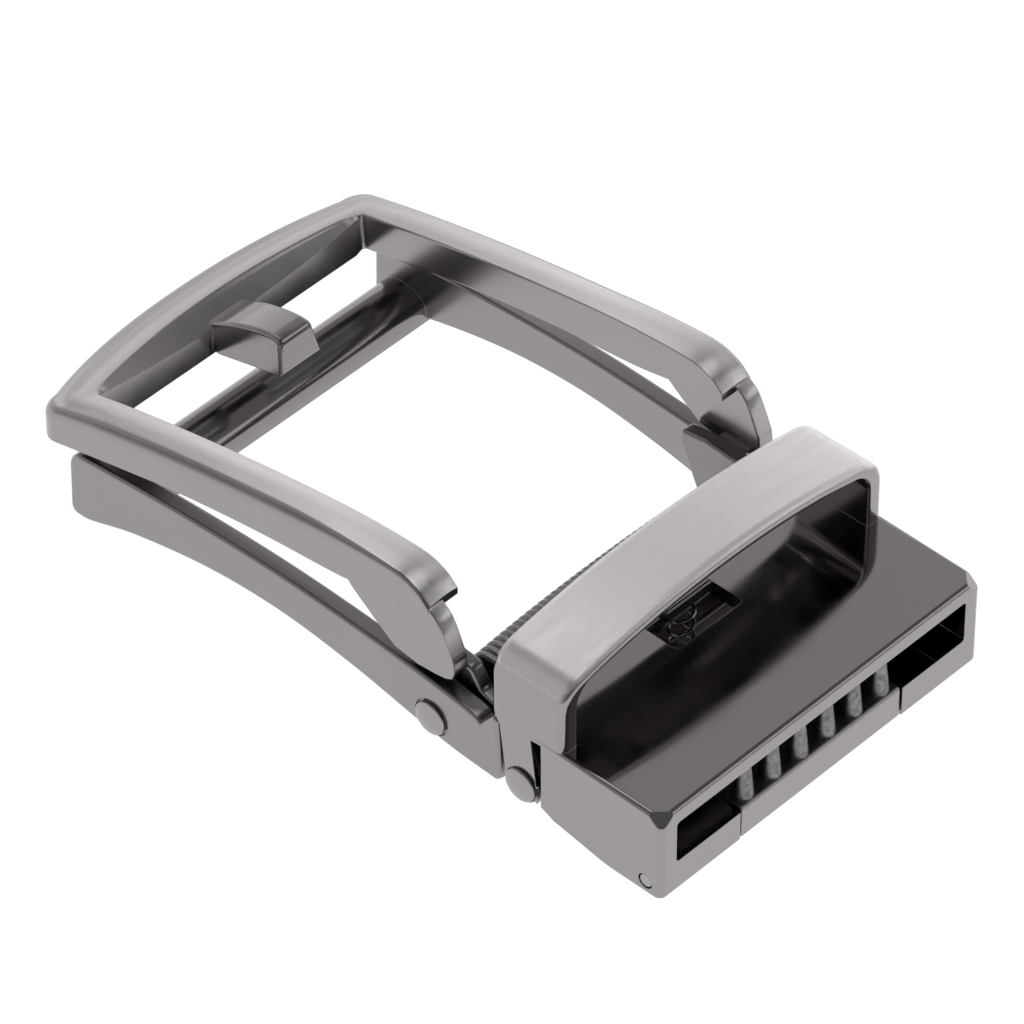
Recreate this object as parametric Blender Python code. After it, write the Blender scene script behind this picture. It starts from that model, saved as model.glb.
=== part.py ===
"""Ratchet belt buckle for a 35 mm strap: two hinged die-cast frames, a keeper loop
cast with the strap clamp, a toothed clamp lever and a ribbed release lever.

X runs along the buckle towards the strap clamp, Y across it, Z up.
All sizes below are in millimetres; the meshes are built in metres.
"""

import math

import bmesh
import bpy

MM = 0.001

# Overall sizes
HALF_WIDTH = 20.0
SIDE_WALL = 1.9
INNER_HALF = HALF_WIDTH - SIDE_WALL
FRONT_X = 36.0
CENTRE_SHIFT = 2.15

# Pivots, as (x, z) of axes that run along Y
FRAME_PIVOT = (10.0, 3.9)
HEAD_PIVOT = (20.35, 3.05)
CLAMP_PIVOT = (34.3, 1.3)
RIVET_SHANK = 0.9
RIVET_BORE = 1.12
RIVET_HEAD = 1.65
RIVET_DOME = 0.35

# Back frame
RAIL_LEFT = -33.4
RAIL_RIGHT = 18.0
RAIL_TOP = ((-32.4, 7.1), (-20.0, 8.25), (-8.0, 8.75), (4.0, 8.4), (13.6, 7.5), (15.6, 6.8))
RAIL_BOTTOM = ((17.6, 1.4), (12.7, 1.65), (8.4, 2.3), (0.3, 3.7), (-8.0, 4.4),
               (-16.5, 3.85), (-25.1, 2.1), (-30.6, 0.3), (-32.4, 0.02))
CROSSBAR_X = (-32.5, -27.0)
CROSSBAR_BOTTOM = 0.9
CROSSBAR_SIDE = 2.3
CROSSBAR_CREST = 4.3
TONGUE_X = (16.95, 22.4)
TONGUE_Z = (1.5, 6.7)
TONGUE_Y = (16.2, 17.8)

# Face frame
ARM_INNER = 16.35
BAR_BULGE_X = -40.3
BAR_CORNER_X = -36.4
BAR_CORNER_RADIUS = 2.2
BULGE_POWER = 2.25
WINDOW_BULGE_X = -35.7
WINDOW_CORNER_X = -33.4
WINDOW_FOOT_X = -33.1
LENS_FOOT_Z = 9.9
BAR_FOOT_DROP = 0.5
SHOULDER = 1.25
NOSE_SHOULDER = 0.5
CROWN = 0.12
FACE_TOP = ((-41.0, 9.2), (-36.4, 10.5), (-27.8, 12.75), (-16.2, 15.2), (-3.3, 17.3),
            (5.2, 17.95), (8.0, 17.45), (9.4, 16.4), (9.8, 15.9))
FACE_BOTTOM = ((-41.0, 6.0), (-36.4, 6.6), (-27.0, 8.85), (-19.4, 10.55), (-10.0, 12.1),
               (-0.6, 13.2), (5.0, 14.35), (9.4, 15.35), (9.8, 15.4))
ARM_STATIONS = (-30.0, -26.0, -21.0, -16.0, -11.0, -6.0, -1.0, 2.5, 5.2, 7.2, 8.6, 9.5)
LEG_INSET = 0.08
EAR_Y = (16.2, 17.75)
HOOK_HALF = 2.2

# Head: keeper loop, floor and clamp box
BOX_REAR = 17.3
# The loop rises from its rear to its front: pairs are its height at either end
LOOP_X = (16.65, 24.9)
LOOP_SHOULDER_Z = (13.3, 13.5)
LOOP_CREST = (17.9, 18.55)
LOOP_CORNER = 3.1
LOOP_EDGE = 0.85
OPENING_SHOULDER_Z = (13.1, 13.5)
OPENING_CREST = (16.7, 17.3)
OPENING_CORNER = 2.3
FLOOR_Z = 9.3
FLOOR_THICKNESS = 1.5
CAVITY_X = 25.7
CAVITY_Z = (3.25, 7.75)
WINDOW_X = (16.0, 23.3)
WINDOW_HALF = 4.1
SHELF_HALF = 10.0
SHELF_X = 16.45
SHELF_Z = (1.2, 2.4)
SHELF_RIM = (1.0, 4.75)
JAW_HALF = 10.05
JAW_REAR = 27.7
CORNER_FILLET = 0.7
EDGE_FILLET = 0.5
FACET = (1.8, 1.8, 1.5)

# Clamp lever
LIP_X = (32.9, 35.95)
LIP_Z = 3.45
PLATE_Z = (0.05, 2.3)
PLATE_REAR = 28.1
TOOTH_COUNT = 6
TOOTH_PITCH = 3.4
TOOTH_X = 34.65
TOOTH_RADIUS = (1.15, 0.6)
TOOTH_TOP = 7.2
CLAMP_PIN_RADIUS = 0.7
CLAMP_PIN_BORE = 0.92

# Release lever
BAR_HALF = 15.6
BAR_X = (10.2, 15.9)
BAR_CREST = 9.9
BAR_END_CREST = 9.1
BAR_BARREL = 2.1
PAWL_HALF = 2.8
PAWL_FRONT = 20.9
PAWL_UNDER = 9.85
PAWL_TOP = 11.2

# Pawl spring
SPRING_AXIS = (20.0, 0.0)
SPRING_COIL = 1.08
SPRING_WIRE = 0.18
SPRING_PITCH = 1.45
SPRING_CLEAR = 0.3

SMOOTH_ANGLE = math.radians(32)


def clear_scene():
    """Remove the objects that a new scene starts with."""
    for item in list(bpy.context.scene.objects):
        bpy.data.objects.remove(item, do_unlink=True)


def metal(name, colour, roughness):
    """A Principled material for one finish of the plated zinc castings."""
    material = bpy.data.materials.new(name)
    material.use_nodes = True
    shader = material.node_tree.nodes["Principled BSDF"]
    shader.inputs["Base Color"].default_value = (*colour, 1.0)
    shader.inputs["Metallic"].default_value = 1.0
    shader.inputs["Roughness"].default_value = roughness
    return material


def make_object(name, shape, material=None, pivot=(0.0, 0.0)):
    """Turn a filled bmesh, in millimetres, into an object in metres with its origin on its pivot."""
    bmesh.ops.remove_doubles(shape, verts=shape.verts, dist=0.001)
    bmesh.ops.recalc_face_normals(shape, faces=shape.faces)
    bmesh.ops.translate(shape, vec=(-pivot[0], 0.0, -pivot[1]), verts=shape.verts)
    bmesh.ops.scale(shape, vec=(MM, MM, MM), verts=shape.verts)
    mesh = bpy.data.meshes.new(name)
    shape.to_mesh(mesh)
    shape.free()
    mesh.shade_smooth()
    mesh.set_sharp_from_angle(angle=SMOOTH_ANGLE)
    item = bpy.data.objects.new(name, mesh)
    item.location = ((pivot[0] + CENTRE_SHIFT) * MM, 0.0, pivot[1] * MM)
    bpy.context.collection.objects.link(item)
    if material is not None:
        mesh.materials.append(material)
    return item


def hide_as_tool(item):
    """Keep a cutter or an added lump out of the finished buckle."""
    item.hide_render = True
    item.display_type = "WIRE"
    return item


def join(target, tool, operation):
    """Add a Boolean with a hidden tool object."""
    hide_as_tool(tool)
    modifier = target.modifiers.new(operation.title() + " " + tool.name, "BOOLEAN")
    modifier.operation = operation
    modifier.object = tool
    modifier.solver = "EXACT"


def mirror_across(item):
    """Repeat an object on the far side of the buckle."""
    modifier = item.modifiers.new("Far side", "MIRROR")
    modifier.use_axis = (False, True, False)
    modifier.use_clip = True
    modifier.merge_threshold = 0.000002


def curve_through(points, steps):
    """Points of a smooth curve through the given ones."""
    ends = [points[0], *points, points[-1]]
    curve = []
    for before, start, end, after in zip(ends, ends[1:], ends[2:], ends[3:]):
        for step in range(steps):
            t = step / steps
            curve.append(tuple(
                0.5 * (2 * b + (c - a) * t + (2 * a - 5 * b + 4 * c - d) * t * t
                       + (3 * b - a - 3 * c + d) * t ** 3)
                for a, b, c, d in zip(before, start, end, after)))
    curve.append(tuple(points[-1]))
    return curve


def height_at(points, x):
    """Height of a smooth curve of (x, z) points above one place."""
    curve = curve_through(points, 8)
    for (x0, z0), (x1, z1) in zip(curve, curve[1:]):
        if x0 <= x <= x1:
            return z0 + (z1 - z0) * (x - x0) / (x1 - x0)
    return curve[-1][1]


def arc(centre, radius, start, end, steps):
    """Points on an arc, angles in degrees."""
    angles = [math.radians(start + (end - start) * step / steps) for step in range(steps + 1)]
    return [(centre[0] + radius * math.cos(a), centre[1] + radius * math.sin(a)) for a in angles]


def prism(outline, axis, low, high):
    """A bmesh that is an outline extruded along Y (side view) or X (end view)."""
    shape = bmesh.new()
    if axis == "Y":
        corners = [shape.verts.new((a, low, b)) for a, b in outline]
        step = (0.0, high - low, 0.0)
    else:
        corners = [shape.verts.new((low, a, b)) for a, b in outline]
        step = (high - low, 0.0, 0.0)
    face = shape.faces.new(corners)
    lid = bmesh.ops.extrude_face_region(shape, geom=[face], use_keep_orig=True)
    moved = [part for part in lid["geom"] if isinstance(part, bmesh.types.BMVert)]
    bmesh.ops.translate(shape, vec=step, verts=moved)
    return shape


def block(low, high):
    """A bmesh box between two corners."""
    shape = bmesh.new()
    bmesh.ops.create_cube(shape, size=1.0)
    size = [b - a for a, b in zip(low, high)]
    middle = [(a + b) / 2 for a, b in zip(low, high)]
    bmesh.ops.scale(shape, vec=size, verts=shape.verts)
    bmesh.ops.translate(shape, vec=middle, verts=shape.verts)
    return shape


def turned(profile, pivot, steps=20):
    """A bmesh turned round an axis along Y, from (y, radius) points."""
    shape = bmesh.new()
    points = [shape.verts.new((pivot[0] + radius, y, pivot[1])) for y, radius in profile]
    edges = [shape.edges.new(pair) for pair in zip(points, points[1:])]
    bmesh.ops.spin(shape, geom=points + edges, cent=(pivot[0], 0.0, pivot[1]), axis=(0.0, 1.0, 0.0),
                   angle=math.tau, steps=steps, use_merge=True)
    return shape


def bore(name, pivot, radius, low, high):
    """A round cutter along Y."""
    return make_object(name, turned(((low, 0.0), (low, radius), (high, radius), (high, 0.0)), pivot, 16))


def loft(sections, caps):
    """Skin closed loops by extruding each loop's edges on to the next one."""
    shape = bmesh.new()
    loop = [shape.verts.new(point) for point in sections[0]]
    ring = [shape.edges.new((a, b)) for a, b in zip(loop, loop[1:] + loop[:1])]
    if caps[0]:
        shape.faces.new(loop)
    for section in sections[1:]:
        made = bmesh.ops.extrude_edge_only(shape, edges=ring)["geom"]
        fresh = {part for part in made if isinstance(part, bmesh.types.BMVert)}
        ring = [part for part in made if isinstance(part, bmesh.types.BMEdge)
                and part.verts[0] in fresh and part.verts[1] in fresh]
        loop = [next(e.other_vert(v) for e in v.link_edges if e.other_vert(v) in fresh) for v in loop]
        for vertex, point in zip(loop, section):
            vertex.co = point
    if caps[1]:
        shape.faces.new(loop)
    return shape


def bevel_where(shape, wanted, width, segments):
    """Round the edges whose middle passes a test."""
    chosen = [edge for edge in shape.edges
              if edge.is_manifold and wanted((edge.verts[0].co + edge.verts[1].co) / 2, edge)]
    bmesh.ops.bevel(shape, geom=chosen, offset=width, offset_type="OFFSET", segments=segments,
                    profile=0.5, affect="EDGES", material=-1)


def cut_corner(shape, corner, legs):
    """Slice a corner off flat, through points as far from it as the legs say."""
    normal = [math.copysign(1 / leg, place) for leg, place in zip(legs, corner)]
    foot = (corner[0] - math.copysign(legs[0], corner[0]), corner[1], corner[2])
    parts = shape.verts[:] + shape.edges[:] + shape.faces[:]
    cut = bmesh.ops.bisect_plane(shape, geom=parts, dist=0.0001, plane_co=foot, plane_no=normal,
                                 clear_outer=True)["geom_cut"]
    rim = [part for part in cut if isinstance(part, bmesh.types.BMEdge)]
    bmesh.ops.contextual_create(shape, geom=rim)


def along_y(edge):
    """Whether an edge runs across the buckle."""
    return abs(edge.verts[0].co.y - edge.verts[1].co.y) > 1.0


# Back frame: two arched rails, the round crossbar, and the inner tongues that carry the head

def rail_outline():
    """Side view of a rail: arched, with rounded left corners and a dip in front of the loop."""
    top = curve_through(RAIL_TOP, 4)
    right = [(17.0, 8.75), (17.45, 8.35), (RAIL_RIGHT, 2.1), (17.95, 1.5)]
    bottom = curve_through(RAIL_BOTTOM, 4)
    left = arc((RAIL_LEFT + 0.8, 0.8), 0.8, 265, 180, 3) + [(RAIL_LEFT + 0.1, 6.3)]
    return top + right + bottom + left


def crossbar_outline():
    """D section: flat below, crowned above."""
    left, right = CROSSBAR_X
    middle = (left + right) / 2
    low = [(left + 0.3, CROSSBAR_BOTTOM), (right - 0.3, CROSSBAR_BOTTOM), (right, CROSSBAR_BOTTOM + 0.5)]
    crown = []
    for step in range(9):
        t = 1 - step / 4
        crown.append((middle + t * (right - middle),
                      CROSSBAR_SIDE + (CROSSBAR_CREST - CROSSBAR_SIDE) * math.sqrt(max(0.0, 1 - t * t))))
    return low + crown + [(left, CROSSBAR_BOTTOM + 0.5)]


def build_back_frame(material):
    frame = make_object("back_frame", prism(rail_outline(), "Y", -HALF_WIDTH, -INNER_HALF), material)
    low, high = TONGUE_Z
    tongue_outline = [(TONGUE_X[0], low), (21.2, low), (TONGUE_X[1], low + 1.2), (TONGUE_X[1], 4.6),
                      (20.9, high), (TONGUE_X[0], high)]
    tongue = make_object("back_tongue", prism(tongue_outline, "Y", -TONGUE_Y[1], -TONGUE_Y[0]))
    root = make_object("back_tongue_root", block((TONGUE_X[0] + 0.05, -HALF_WIDTH + 0.5, low + 0.1),
                                                 (RAIL_RIGHT - 0.45, -TONGUE_Y[0] - 0.1, high - 0.1)))
    join(tongue, root, "UNION")
    join(frame, tongue, "UNION")
    join(frame, bore("bore_frame_rivet", FRAME_PIVOT, RIVET_BORE, -HALF_WIDTH - 1, -TONGUE_Y[0] + 1),
         "DIFFERENCE")
    join(frame, bore("bore_head_rivet_tongue", HEAD_PIVOT, RIVET_BORE, -HALF_WIDTH - 1,
                     -TONGUE_Y[0] + 1), "DIFFERENCE")
    mirror_across(frame)
    bar = make_object("back_crossbar", prism(crossbar_outline(), "Y", -INNER_HALF - 0.9,
                                             INNER_HALF + 0.9))
    join(frame, bar, "UNION")
    return frame


# Face frame: bowed end bar, arched arms, curled noses, leg plates, hinge ears and the fixed hook

def face_section(outer, inner, foot, lens_z, foot_drop=0.0):
    """One cross-section, from the outer foot over the shoulder and crown to the inner foot."""
    x_out, y_out = outer
    x_in, y_in = inner
    span = math.hypot(x_in - x_out, y_in - y_out)
    toward = ((x_in - x_out) / span, (y_in - y_out) / span)
    top_out = height_at(FACE_TOP, x_out)
    top_in = height_at(FACE_TOP, x_in)
    low_out = height_at(FACE_BOTTOM, x_out)
    low_in = height_at(FACE_BOTTOM, foot[0]) - foot_drop
    sharpening = min(1.0, max(0.0, (x_out + 6.0) / 11.0))
    radius = min(SHOULDER - (SHOULDER - NOSE_SHOULDER) * sharpening, 0.8 * (top_out - low_out))
    points = [(x_out, y_out, low_out)]
    for step in range(5):
        angle = math.radians(90 * step / 4)
        reach = radius * (1 - math.cos(angle))
        points.append((x_out + toward[0] * reach, y_out + toward[1] * reach,
                       top_out - radius * (1 - math.sin(angle))))
    points.append(((x_out + x_in) / 2 + toward[0] * radius / 2,
                   (y_out + y_in) / 2 + toward[1] * radius / 2,
                   (top_out + top_in) / 2 + CROWN))
    points.append((x_in, y_in, top_in))
    points.append((foot[0], foot[1], lens_z))
    points.append((foot[0], foot[1], low_in))
    return points


def bulge(corner_x, middle_x, half, y):
    """X of a shallow bowed line across the buckle."""
    return middle_x + (corner_x - middle_x) * abs(y / half) ** BULGE_POWER


def face_sections():
    """Stations from the middle of the end bar, round the near corner and along the near arm."""
    corner_y = HALF_WIDTH - BAR_CORNER_RADIUS
    stations = []
    for share in (0.0, 0.2, 0.4, 0.6, 0.8, 1.0):
        y_out = -corner_y * share
        y_in = -ARM_INNER * share
        outer = (bulge(BAR_CORNER_X, BAR_BULGE_X, HALF_WIDTH, y_out), y_out)
        inner = (bulge(WINDOW_CORNER_X, WINDOW_BULGE_X, ARM_INNER, y_in), y_in)
        lens_z = LENS_FOOT_Z + (height_at(FACE_TOP, WINDOW_FOOT_X) - 0.25 - LENS_FOOT_Z) * share ** 2
        stations.append(face_section(outer, inner, (WINDOW_FOOT_X, y_in), lens_z, BAR_FOOT_DROP))
    corner_x = stations[-1][0][0] + BAR_CORNER_RADIUS
    inner = (WINDOW_CORNER_X, -ARM_INNER)
    foot = (WINDOW_FOOT_X, -ARM_INNER)
    lens_z = height_at(FACE_TOP, WINDOW_FOOT_X) - 0.25
    for outer in arc((corner_x, -corner_y), BAR_CORNER_RADIUS, 180, 270, 5)[1:]:
        stations.append(face_section(outer, inner, foot, lens_z, BAR_FOOT_DROP))
    for x in ARM_STATIONS:
        inner = (x, -ARM_INNER)
        drop = min(0.25, 0.3 * (height_at(FACE_TOP, x) - height_at(FACE_BOTTOM, x)))
        stations.append(face_section((x, -HALF_WIDTH), inner, inner, height_at(FACE_TOP, x) - drop))
    return stations


def leg_outline():
    """Leg plate below the arm: its knee rests on the rail, its toe is rounded."""
    knee = [(0.3, 13.6), (1.2, 12.5), (3.3, 10.9), (5.7, 9.2), (8.3, 8.85), (10.4, 9.05), (11.6, 9.3)]
    toe = [(12.3, 9.75), (12.55, 10.4)]
    rear = curve_through(((12.4, 11.6), (11.4, 13.9), (10.7, 15.1), (9.9, 16.2)), 3)
    return knee + toe + rear + [(8.9, 16.9), (5.0, 16.2)]


def ear_outline():
    """Hinge ear inside the rail, round the frame rivet."""
    left = [(4.9, 8.4), (7.5, 2.5)]
    below = arc(FRAME_PIVOT, 2.2, 235, 300, 4)
    right = [(14.6, 4.4), (15.3, 5.6), (15.3, 7.0), (13.6, 7.55), (12.4, 9.6), (8.0, 9.9), (5.2, 9.5)]
    return left + below + right


def hook_outline():
    """Side view of the fixed prong: it rises from the end bar and ends in a slanted face."""
    top = [(-34.6, 10.4), (-33.2, 10.75), (-31.0, 11.6), (-28.6, 12.4), (-26.6, 12.85), (-25.5, 12.85)]
    end = [(-25.2, 12.55), (-24.95, 9.55)]
    return top + end + [(-28.2, 8.6), (-32.2, 7.5), (-34.6, 7.4)]


def build_face_frame(material):
    frame = make_object("face_frame", loft(face_sections(), (False, True)), material, FRAME_PIVOT)
    mirror_across(frame)
    legs = make_object("face_legs", prism(leg_outline(), "Y", -HALF_WIDTH + LEG_INSET, -INNER_HALF))
    ears = make_object("face_ears", prism(ear_outline(), "Y", -EAR_Y[1], -EAR_Y[0]))
    # The ear stands a step inside the leg plate, so a web joins them above the rail
    web = make_object("face_webs", block((8.2, -INNER_HALF - 0.6, 9.0), (11.4, -EAR_Y[1] + 0.5, 9.7)))
    join(ears, web, "UNION")
    join(legs, ears, "UNION")
    join(legs, bore("bore_ear", FRAME_PIVOT, RIVET_BORE, -HALF_WIDTH - 1, -EAR_Y[0] + 1), "DIFFERENCE")
    mirror_across(legs)
    join(frame, legs, "UNION")
    shape = prism(hook_outline(), "Y", -HOOK_HALF, HOOK_HALF)
    bevel_where(shape, lambda middle, edge: along_y(edge) and middle.x > -26.0, 0.3, 2)
    join(frame, make_object("face_hook", shape), "UNION")
    return frame


# Head: keeper loop, floor, pivot lugs and clamp box in one casting

def head_outline():
    """Side view of the head below the loop."""
    lug = arc(HEAD_PIVOT, 1.8, 180, 335, 6)
    box = [(22.9, 1.7), (24.0, 1.2), (26.7, 0.75), (29.2, 0.3), (31.6, 0.0), (35.6, 0.0), (FRONT_X, 0.4),
           (FRONT_X, FLOOR_Z), (BOX_REAR, FLOOR_Z), (BOX_REAR, 9.2), (17.85, 8.4)]
    return lug + box


def arch(half, shoulder_z, corner, crest):
    """End view of the loop from one foot of its round corner to the other."""
    side = arc((-half + corner, shoulder_z), corner, 180, 105, 4)
    start = side[-1]
    crown = []
    steps = 12
    for step in range(1, steps):
        y = start[0] * (1 - 2 * step / steps)
        crown.append((y, crest - (crest - start[1]) * (y / start[0]) ** 2))
    other = [(-y, z) for y, z in reversed(side)]
    return side + crown + other


def loop_section(x, foot, half, shoulders, corner, crests):
    """Outline of the loop or of its opening, at one place along the buckle."""
    share = (x - LOOP_X[0]) / (LOOP_X[1] - LOOP_X[0])
    shoulder, crest = (rear + (front - rear) * share for rear, front in (shoulders, crests))
    outline = [(-half, foot), *arch(half, shoulder, corner, crest), (half, foot)]
    return [(x, y, z) for y, z in outline]


def build_head(material):
    shape = prism(head_outline(), "Y", -HALF_WIDTH, HALF_WIDTH)
    bevel_where(shape, lambda middle, edge: along_y(edge) and middle.x > FRONT_X - 0.01
                and middle.z > 5.0, EDGE_FILLET, 2)
    bevel_where(shape, lambda middle, edge: not along_y(edge) and abs(middle.y) > HALF_WIDTH - 0.01
                and middle.x > FRONT_X - 0.01, CORNER_FILLET, 4)
    bevel_where(shape, lambda middle, edge: not along_y(edge) and abs(middle.y) > HALF_WIDTH - 0.01
                and abs(middle.z - FLOOR_Z) < 0.01 and middle.x > LOOP_X[1] + 1.0, EDGE_FILLET, 2)
    for side in (-HALF_WIDTH, HALF_WIDTH):
        cut_corner(shape, (FRONT_X, side, FLOOR_Z), FACET)
    head = make_object("head", shape, material, HEAD_PIVOT)

    shape = loft([loop_section(x, FLOOR_Z - 0.05, HALF_WIDTH, LOOP_SHOULDER_Z, LOOP_CORNER, LOOP_CREST)
                  for x in LOOP_X], (True, True))
    bevel_where(shape, lambda middle, edge: abs(edge.verts[0].co.x - edge.verts[1].co.x) < 0.01
                and middle.z > FLOOR_Z + 0.5, LOOP_EDGE, 3)
    join(head, make_object("head_loop", shape), "UNION")
    opening = [loop_section(x, FLOOR_Z, INNER_HALF, OPENING_SHOULDER_Z, OPENING_CORNER, OPENING_CREST)
               for x in (LOOP_X[0] - 1, LOOP_X[1] + 1)]
    join(head, make_object("cut_loop_opening", loft(opening, (True, True))), "DIFFERENCE")
    # The legs' rear edges lean back from the box up to the loop
    lean = [(16.0, 8.0), (BOX_REAR, 8.0), (BOX_REAR, FLOOR_Z), (LOOP_X[0] - 0.05, 10.6), (16.0, 10.6)]
    join(head, make_object("cut_leg_rear", prism(lean, "Y", -HALF_WIDTH - 1, HALF_WIDTH + 1)), "DIFFERENCE")
    cuts = {
        "cut_under_floor": ((16.0, -INNER_HALF, -1.0), (24.2, INNER_HALF, FLOOR_Z - FLOOR_THICKNESS)),
        "cut_strap_cavity": ((CAVITY_X, -INNER_HALF, CAVITY_Z[0]), (38.0, INNER_HALF, CAVITY_Z[1])),
        "cut_jaw_opening": ((JAW_REAR, -JAW_HALF - 0.15, -1.0), (38.0, JAW_HALF + 0.15, CAVITY_Z[0] + 0.1)),
        "cut_pawl_window": ((WINDOW_X[0], -WINDOW_HALF, 6.0), (WINDOW_X[1], WINDOW_HALF, 11.0)),
    }
    for name, (low, high) in cuts.items():
        join(head, make_object(name, block(low, high)), "DIFFERENCE")
    # The shelf that carries the spring, with an upturned rim at its rear
    low, high = SHELF_Z
    rim, rim_top = SHELF_RIM
    shelf = [(SHELF_X, low), (24.6, low), (24.6, high), (SHELF_X + rim, high), (SHELF_X + rim, rim_top),
             (SHELF_X, rim_top)]
    join(head, make_object("spring_shelf", prism(shelf, "Y", -SHELF_HALF, SHELF_HALF)), "UNION")
    # A wedge slot parts each lug from the box, in the side walls only
    slot = [(22.1, 0.0), (22.1, 2.75), (21.3, 8.8), (22.5, 8.87), (22.55, 0.0)]
    side = HALF_WIDTH + 1
    for name, low, high in (("near", -side, -INNER_HALF + 0.1), ("far", INNER_HALF - 0.1, side)):
        join(head, make_object("cut_slot_" + name, prism(slot, "Y", low, high)), "DIFFERENCE")
    join(head, bore("bore_lug", HEAD_PIVOT, RIVET_BORE, -side, side), "DIFFERENCE")
    join(head, bore("bore_clamp_pin", CLAMP_PIVOT, CLAMP_PIN_BORE, -side, side), "DIFFERENCE")
    return head


# Clamp lever and its pin, in the mouth of the clamp box

def build_clamp_lever(material):
    low, high = PLATE_Z
    outline = [(PLATE_REAR, low), (LIP_X[1] - 0.3, low), (LIP_X[1], low + 0.3), (LIP_X[1], LIP_Z - 0.3),
               (LIP_X[1] - 0.3, LIP_Z), (LIP_X[0] + 0.2, LIP_Z), (LIP_X[0], high + 0.5),
               (LIP_X[0] - 0.3, high), (PLATE_REAR + 0.6, high)]
    lever = make_object("clamp_lever", prism(outline, "Y", -JAW_HALF + 0.1, JAW_HALF - 0.1), material,
                        CLAMP_PIVOT)
    for index in range(TOOTH_COUNT):
        y = (index - (TOOTH_COUNT - 1) / 2) * TOOTH_PITCH
        tooth = bmesh.new()
        depth = TOOTH_TOP - high
        bmesh.ops.create_cone(tooth, cap_ends=True, segments=12, radius1=TOOTH_RADIUS[0],
                              radius2=TOOTH_RADIUS[1], depth=depth)
        bmesh.ops.translate(tooth, vec=(TOOTH_X, y, TOOTH_TOP - depth / 2), verts=tooth.verts)
        join(lever, make_object("clamp_tooth_%d" % (index + 1), tooth), "UNION")
    join(lever, bore("bore_lever_pin", CLAMP_PIVOT, CLAMP_PIN_BORE, -JAW_HALF - 1, JAW_HALF + 1),
         "DIFFERENCE")
    return lever


def build_clamp_pin(material):
    end = HALF_WIDTH - 0.05
    profile = ((-end, 0.0), (-end, CLAMP_PIN_RADIUS), (end, CLAMP_PIN_RADIUS), (end, 0.0))
    return make_object("clamp_pin", turned(profile, CLAMP_PIVOT, 16), material, CLAMP_PIVOT)


# Release lever: crowned thumb bar, barrel on the frame rivets, and the pawl with its tooth

def lever_section(y):
    """Section of the thumb bar at one place across the buckle."""
    crest = BAR_CREST - (BAR_CREST - BAR_END_CREST) * (y / BAR_HALF) ** 2
    left, right = BAR_X
    barrel = arc(FRAME_PIVOT, BAR_BARREL, 160, 290, 6)
    front = [(13.2, 3.4), (right, 3.9), (right, crest - 1.6)]
    top = arc((right - 1.6, crest - 1.6), 1.6, 30, 90, 2) + arc((left + 1.9, crest - 1.9), 1.9, 90, 180, 4)
    return [(x, y, z) for x, z in barrel + front + top]


def pawl_outline():
    """Side view of the pawl: it rises through the floor's window to its tooth under the loop."""
    under = [(12.6, 5.6), (15.9, 6.2), (18.1, 9.2), (18.6, PAWL_UNDER), (PAWL_FRONT, PAWL_UNDER)]
    top = [(PAWL_FRONT, PAWL_TOP - 0.2), (PAWL_FRONT - 0.3, PAWL_TOP), (16.2, 9.3), (13.4, 9.0)]
    return under + top


def build_release_lever(material):
    places = [BAR_HALF * share for share in (-1.0, -0.66, -0.33, 0.0, 0.33, 0.66, 1.0)]
    lever = make_object("release_lever", loft([lever_section(y) for y in places], (True, True)), material,
                        FRAME_PIVOT)
    join(lever, make_object("lever_pawl", prism(pawl_outline(), "Y", -PAWL_HALF, PAWL_HALF)), "UNION")
    for name, side in (("near", -1), ("far", 1)):
        start, end = sorted((side * (BAR_HALF - 2.2), side * (BAR_HALF + 1)))
        join(lever, bore("bore_lever_" + name, FRAME_PIVOT, RIVET_BORE, start, end), "DIFFERENCE")
    return lever


# Pawl spring: an open coil standing on the head's shelf under the tooth

def build_lever_spring(material):
    bottom = SHELF_Z[1] + SPRING_CLEAR + SPRING_WIRE
    top = PAWL_UNDER - SPRING_CLEAR - SPRING_WIRE
    turns = (top - bottom) / SPRING_PITCH
    steps = round(turns * 14)
    ring = []
    for step in range(steps + 1):
        angle = math.tau * turns * step / steps
        z = bottom + (top - bottom) * step / steps
        loop = []
        for side in range(6):
            around = math.tau * side / 6
            reach = SPRING_COIL + SPRING_WIRE * math.cos(around)
            loop.append((SPRING_AXIS[0] + reach * math.cos(angle), SPRING_AXIS[1] + reach * math.sin(angle),
                         z + SPRING_WIRE * math.sin(around)))
        ring.append(loop)
    return make_object("lever_spring", loft(ring, (True, True)), material)


# Rivets: domed heads outside the rails and lugs

def build_rivet(name, pivot, side, inner_end, material):
    outer = HALF_WIDTH + 0.2
    profile = [(inner_end, 0.0), (inner_end, RIVET_SHANK), (outer, RIVET_SHANK), (outer, RIVET_HEAD)]
    for share in (0.35, 0.7, 1.0):
        profile.append((outer + RIVET_DOME * math.sin(share * math.pi / 2),
                        RIVET_HEAD * math.cos(share * math.pi / 2)))
    return make_object(name, turned([(side * y, radius) for y, radius in profile], pivot), material)


def build_rivets(material):
    for label, side in (("near", -1), ("far", 1)):
        build_rivet("frame_rivet_" + label, FRAME_PIVOT, side, BAR_HALF - 1.9, material)
        build_rivet("head_rivet_" + label, HEAD_PIVOT, side, TONGUE_Y[0] + 0.1, material)


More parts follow.
